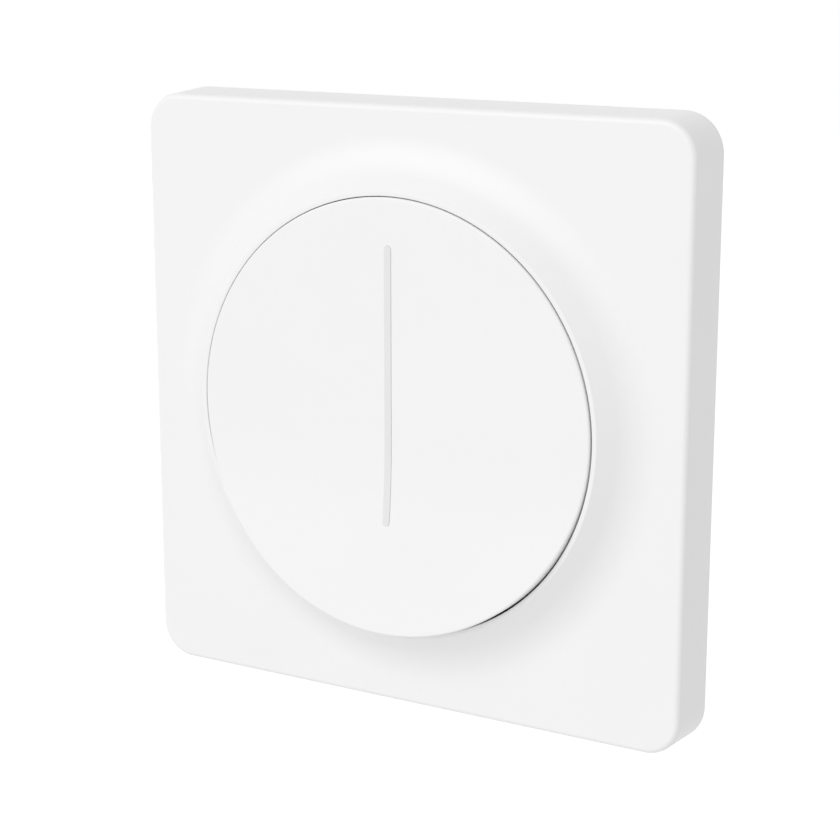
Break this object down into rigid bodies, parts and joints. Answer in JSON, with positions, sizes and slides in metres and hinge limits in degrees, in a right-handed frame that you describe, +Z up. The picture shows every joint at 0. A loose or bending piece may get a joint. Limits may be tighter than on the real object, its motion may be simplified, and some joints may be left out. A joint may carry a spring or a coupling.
{
  "type": "smart touch dimmer switch",
  "caption": "White square wall dimmer with a flared round collar, a hinged round press plate with an upright touch and light bar, and a wall-box module behind it.",
  "frame": {"origin": "middle of the cover frame on the wall's face, between the wall-box screw slots", "axes": "+X to the right as seen from the room, +Z up, +Y into the wall"},
  "size_m": [0.086, 0.0414, 0.086],
  "materials": {
    "white_shell": "fine satin moulding",
    "diffuser": "frosted light bar",
    "inner_plastic": "plain moulding",
    "dark_plastic": "moulded case",
    "housing_plastic": "spark eroded",
    "terminal_plastic": "moulded",
    "circuit_board": "solder mask",
    "zinc_steel": "zinc plated sheet",
    "screw_steel": "zinc plated",
    "brass": "stamped",
    "tinned_steel": "tinned",
    "aluminium": "extruded",
    "led_package": "moulded lens",
    "ribbon_film": "amber film",
    "copper_winding": "enamelled wire",
    "capacitor_sleeve": "shrink sleeve",
    "film_case": "dipped case",
    "varistor_coat": "dipped lacquer"
  },
  "bodies": {
    "base": {"mounting_bracket": "zinc_steel", "base_cover": "housing_plastic", "base_screws": "screw_steel", "rear_housing": "housing_plastic", "power_board": "circuit_board", "header_socket": "dark_plastic", "heat_sink": "aluminium", "power_transistors": "dark_plastic", "filter_choke": "copper_winding", "bulk_capacitor": "capacitor_sleeve", "film_capacitor": "film_case", "fuse": "dark_plastic", "varistor": "varistor_coat", "bridge_rectifier": "dark_plastic", "terminal_block": "terminal_plastic", "contact_bars": "brass"},
    "front_panel": {"cover_frame": "white_shell", "chassis": "inner_plastic", "hinge_pins": "screw_steel", "key_board": "circuit_board", "board_screws": "screw_steel", "key_switch_body": "dark_plastic", "wireless_module": "tinned_steel", "ribbon_socket": "dark_plastic", "header_pins": "dark_plastic"},
    "press_plate": {"press_plate": "white_shell", "light_bar": "diffuser", "touch_board": "circuit_board", "slider_leds": "led_package", "touch_chip": "dark_plastic", "ribbon_cable": "ribbon_film"},
    "key_plunger": {"key_plunger": "inner_plastic"},
    "terminal_screw_1": {"terminal_screw_1": "screw_steel"},
    "terminal_cage_1": {"terminal_cage_1": "zinc_steel"},
    "terminal_screw_2": {"terminal_screw_2": "screw_steel"},
    "terminal_cage_2": {"terminal_cage_2": "zinc_steel"},
    "terminal_screw_3": {"terminal_screw_3": "screw_steel"},
    "terminal_cage_3": {"terminal_cage_3": "zinc_steel"},
    "terminal_screw_4": {"terminal_screw_4": "screw_steel"},
    "terminal_cage_4": {"terminal_cage_4": "zinc_steel"}
  },
  "joints": [
    {"name": "panel_lift", "type": "slide", "parent": "base", "child": "front_panel", "axis": [0, -1, 0], "range_m": [0, 0.03]},
    {"name": "plate_press", "type": "hinge", "parent": "front_panel", "child": "press_plate", "pos_m": [0, -0.0076, 0.02537], "axis": [1, 0, 0], "range_deg": [0, 1.71], "stiffness_Nm_per_rad": 1.5, "springref_deg": -1.72},
    {"name": "key_travel", "type": "slide", "parent": "front_panel", "child": "key_plunger", "axis": [0, 1, 0], "range_m": [0, 0.00136]},
    {"name": "clamp_turn_1", "type": "hinge", "parent": "base", "child": "terminal_screw_1", "pos_m": [-0.0105, 0.0233, -0.0155], "axis": [0, -1, 0], "range_deg": [0, 2304]},
    {"name": "clamp_rise_1", "type": "slide", "parent": "base", "child": "terminal_cage_1", "axis": [0, 1, 0], "range_m": [0, 0.0032]},
    {"name": "clamp_turn_2", "type": "hinge", "parent": "base", "child": "terminal_screw_2", "pos_m": [-0.0035, 0.0233, -0.0155], "axis": [0, -1, 0], "range_deg": [0, 2304]},
    {"name": "clamp_rise_2", "type": "slide", "parent": "base", "child": "terminal_cage_2", "axis": [0, 1, 0], "range_m": [0, 0.0032]},
    {"name": "clamp_turn_3", "type": "hinge", "parent": "base", "child": "terminal_screw_3", "pos_m": [0.0035, 0.0233, -0.0155], "axis": [0, -1, 0], "range_deg": [0, 2304]},
    {"name": "clamp_rise_3", "type": "slide", "parent": "base", "child": "terminal_cage_3", "axis": [0, 1, 0], "range_m": [0, 0.0032]},
    {"name": "clamp_turn_4", "type": "hinge", "parent": "base", "child": "terminal_screw_4", "pos_m": [0.0105, 0.0233, -0.0155], "axis": [0, -1, 0], "range_deg": [0, 2304]},
    {"name": "clamp_rise_4", "type": "slide", "parent": "base", "child": "terminal_cage_4", "axis": [0, 1, 0], "range_m": [0, 0.0032]}
  ],
  "couplings": [
    {"joint": "key_travel", "follows": "plate_press", "m_per_rad": 0.04499},
    {"joint": "clamp_turn_1", "follows": "clamp_rise_1", "rad_per_m": 12566},
    {"joint": "clamp_turn_2", "follows": "clamp_rise_2", "rad_per_m": 12566},
    {"joint": "clamp_turn_3", "follows": "clamp_rise_3", "rad_per_m": 12566},
    {"joint": "clamp_turn_4", "follows": "clamp_rise_4", "rad_per_m": 12566}
  ]
}
